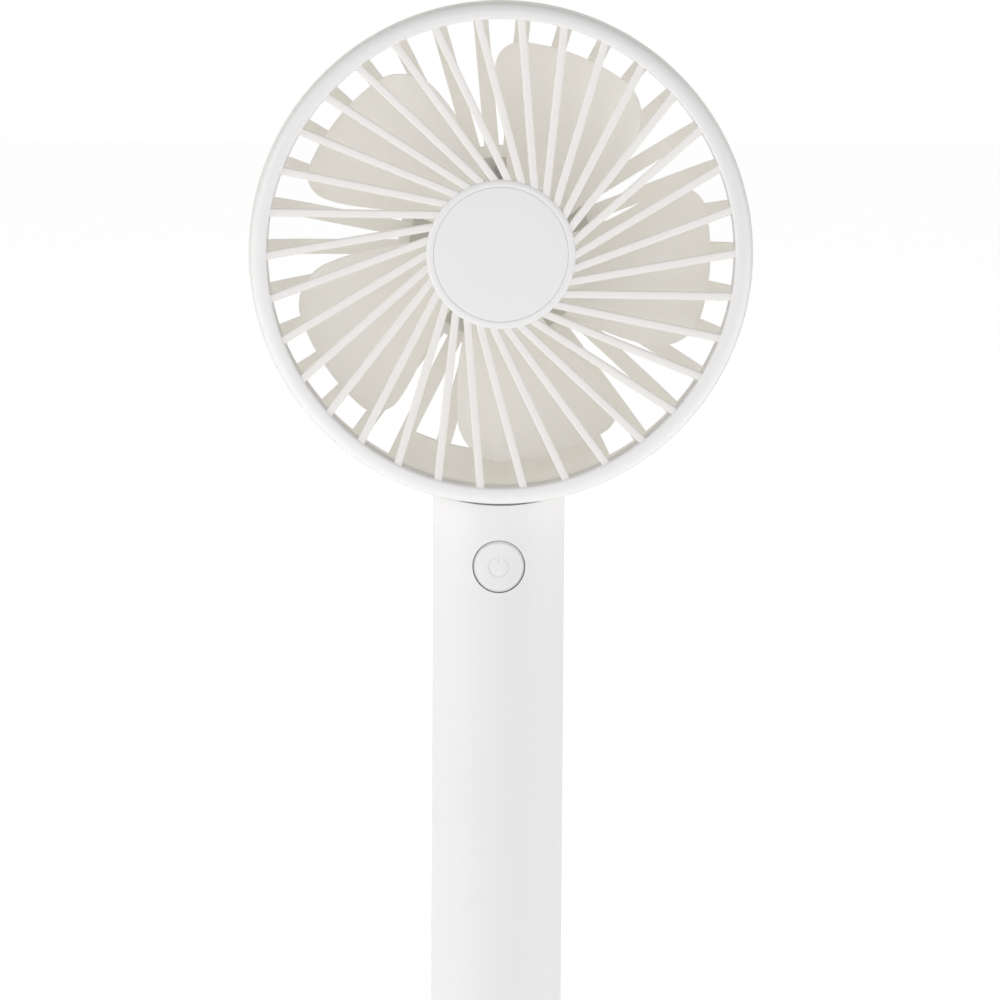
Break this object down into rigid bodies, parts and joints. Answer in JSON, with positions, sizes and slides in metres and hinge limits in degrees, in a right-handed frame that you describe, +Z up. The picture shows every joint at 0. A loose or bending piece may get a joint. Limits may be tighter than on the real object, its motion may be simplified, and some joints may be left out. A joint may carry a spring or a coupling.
{
  "type": "handheld fan",
  "caption": "Handheld fan with a round head, a swirled front grille over a bladed impeller and a small motor, and a straight tubular handle with a push button and a rechargeable cell.",
  "frame": {"origin": "centre of the flat base under the handle", "axes": "+Z up the handle towards the head, -Y out of the front grille, +X to the right of someone facing the front"},
  "size_m": [0.104, 0.037, 0.216],
  "materials": {
    "shell_plastic": "fine satin moulding, warm white",
    "housing_plastic": "fine satin moulding, warm white",
    "impeller_plastic": "satin moulding, pale cream",
    "inner_plastic": "plain moulding",
    "dark_plastic": "plain moulding",
    "steel": "nickel plated",
    "core_steel": "laminated",
    "ferrite": "sintered",
    "bronze": "sintered or stamped",
    "copper": "enamelled or bare copper",
    "cell": "shrink sleeve",
    "foam": "foam",
    "board": "solder mask",
    "capacitor": "ceramic",
    "lamp": "clear lens",
    "lead_red": "insulation",
    "lead_black": "insulation"
  },
  "bodies": {
    "housing": {"rear_housing": "housing_plastic", "lead_cover": "housing_plastic", "motor_mount": "inner_plastic", "mount_screws": "steel", "motor_screws": "steel", "motor_can": "steel", "motor_end_cap": "dark_plastic", "motor_magnets": "ferrite", "front_bush": "bronze", "rear_bush": "bronze", "motor_brushes": "copper", "motor_terminals": "bronze", "handle_tube": "shell_plastic", "neck_screws": "steel", "bottom_cap": "shell_plastic", "bottom_screw": "steel", "chassis": "inner_plastic", "battery_cell": "cell", "battery_collar": "inner_plastic", "battery_tabs": "steel", "battery_pad": "foam", "control_board": "board", "board_screws": "steel", "switch_body": "dark_plastic", "motor_driver": "dark_plastic", "speed_controller": "dark_plastic", "power_coil": "ferrite", "board_capacitors": "capacitor", "charge_board": "board", "charge_chip": "dark_plastic", "charge_lamp": "lamp", "usb_shell": "steel", "usb_tongue": "dark_plastic", "battery_lead_positive": "lead_red", "battery_lead_negative": "lead_black", "supply_lead_positive": "lead_red", "supply_lead_negative": "lead_black", "motor_lead_positive": "lead_red", "motor_lead_negative": "lead_black"},
    "grille": {"front_grille": "shell_plastic", "hub_cap": "shell_plastic"},
    "rotor": {"impeller": "impeller_plastic", "motor_shaft": "steel", "armature_core": "core_steel", "armature_windings": "copper", "commutator": "copper"},
    "button": {"power_button": "shell_plastic", "switch_plunger": "dark_plastic"}
  },
  "joints": [
    {"name": "impeller_spin", "type": "hinge", "parent": "housing", "child": "rotor", "pos_m": [0, 0, 0.164], "axis": [0, -1, 0], "continuous": true},
    {"name": "grille_twist", "type": "hinge", "parent": "housing", "child": "grille", "pos_m": [0, 0, 0.164], "axis": [0, -1, 0], "range_deg": [0, 12]},
    {"name": "button_press", "type": "slide", "parent": "housing", "child": "button", "axis": [0, 1, 0], "range_m": [0, 0.0004], "stiffness_N_per_m": 1500}
  ]
}
